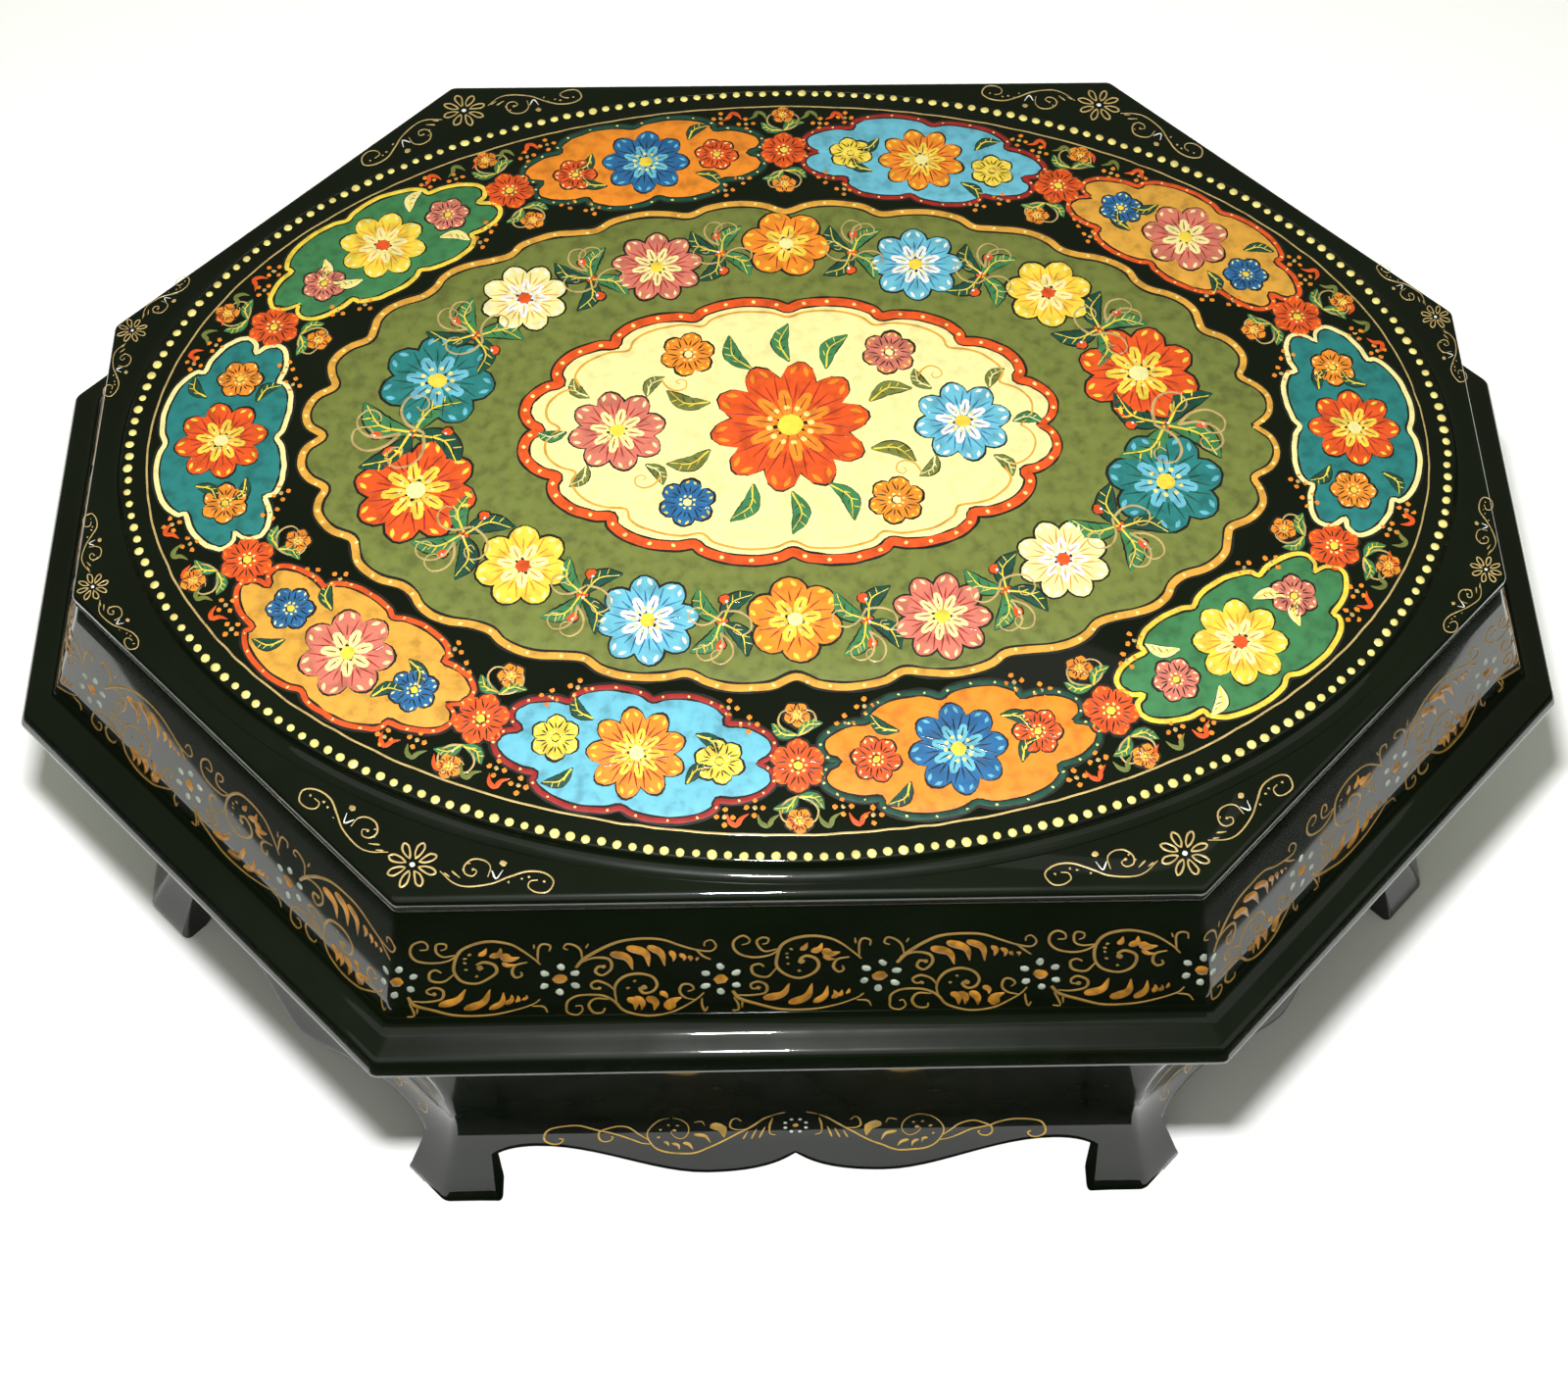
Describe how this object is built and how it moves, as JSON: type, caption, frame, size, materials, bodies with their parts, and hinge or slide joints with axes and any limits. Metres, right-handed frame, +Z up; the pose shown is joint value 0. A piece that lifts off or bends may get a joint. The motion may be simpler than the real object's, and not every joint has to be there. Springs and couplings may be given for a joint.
{
  "type": "lacquer box",
  "caption": "Long octagonal black lacquer casket: hinged lid with a raised oval panel, sloping frieze, plinth moulding and a curved stand on bracket feet.",
  "frame": {"origin": "on the floor under the middle of the casket", "axes": "+X to the right along the long side, +Y to the back where the hinges are, +Z up"},
  "size_m": [0.272, 0.2028, 0.12],
  "materials": {
    "black_lacquer": "black lacquer, high gloss, painted in gold",
    "oval_painting": "painted miniature under clear lacquer, high gloss",
    "red_lacquer": "red lacquer, satin gloss",
    "brass": "polished brass"
  },
  "bodies": {
    "case": {"case_lining": "red_lacquer", "floor_panel": "red_lacquer", "apron_front": "black_lacquer", "apron_front_right": "black_lacquer", "apron_right": "black_lacquer", "apron_back_right": "black_lacquer", "apron_back": "black_lacquer", "apron_back_left": "black_lacquer", "apron_left": "black_lacquer", "apron_front_left": "black_lacquer", "plinth_front": "black_lacquer", "plinth_front_right": "black_lacquer", "plinth_right": "black_lacquer", "plinth_back_right": "black_lacquer", "plinth_back": "black_lacquer", "plinth_back_left": "black_lacquer", "plinth_left": "black_lacquer", "plinth_front_left": "black_lacquer", "frieze_front": "black_lacquer", "frieze_front_right": "black_lacquer", "frieze_right": "black_lacquer", "frieze_back_right": "black_lacquer", "frieze_back": "black_lacquer", "frieze_back_left": "black_lacquer", "frieze_left": "black_lacquer", "frieze_front_left": "black_lacquer", "hinge_case_leaf_left": "brass", "hinge_case_leaf_right": "brass", "hinge_pin_left": "brass", "hinge_pin_right": "brass", "hinge_case_screws": "brass"},
    "lid": {"lid_plate": "black_lacquer", "lid_oval_panel": "oval_painting", "lid_inner_rim": "red_lacquer", "hinge_lid_leaf_left": "brass", "hinge_lid_leaf_right": "brass", "hinge_lid_screws": "brass"}
  },
  "joints": [
    {"name": "lid_hinge", "type": "hinge", "parent": "case", "child": "lid", "pos_m": [0, 0.0868, 0.1089], "axis": [-1, 0, 0], "range_deg": [0, 100]}
  ]
}
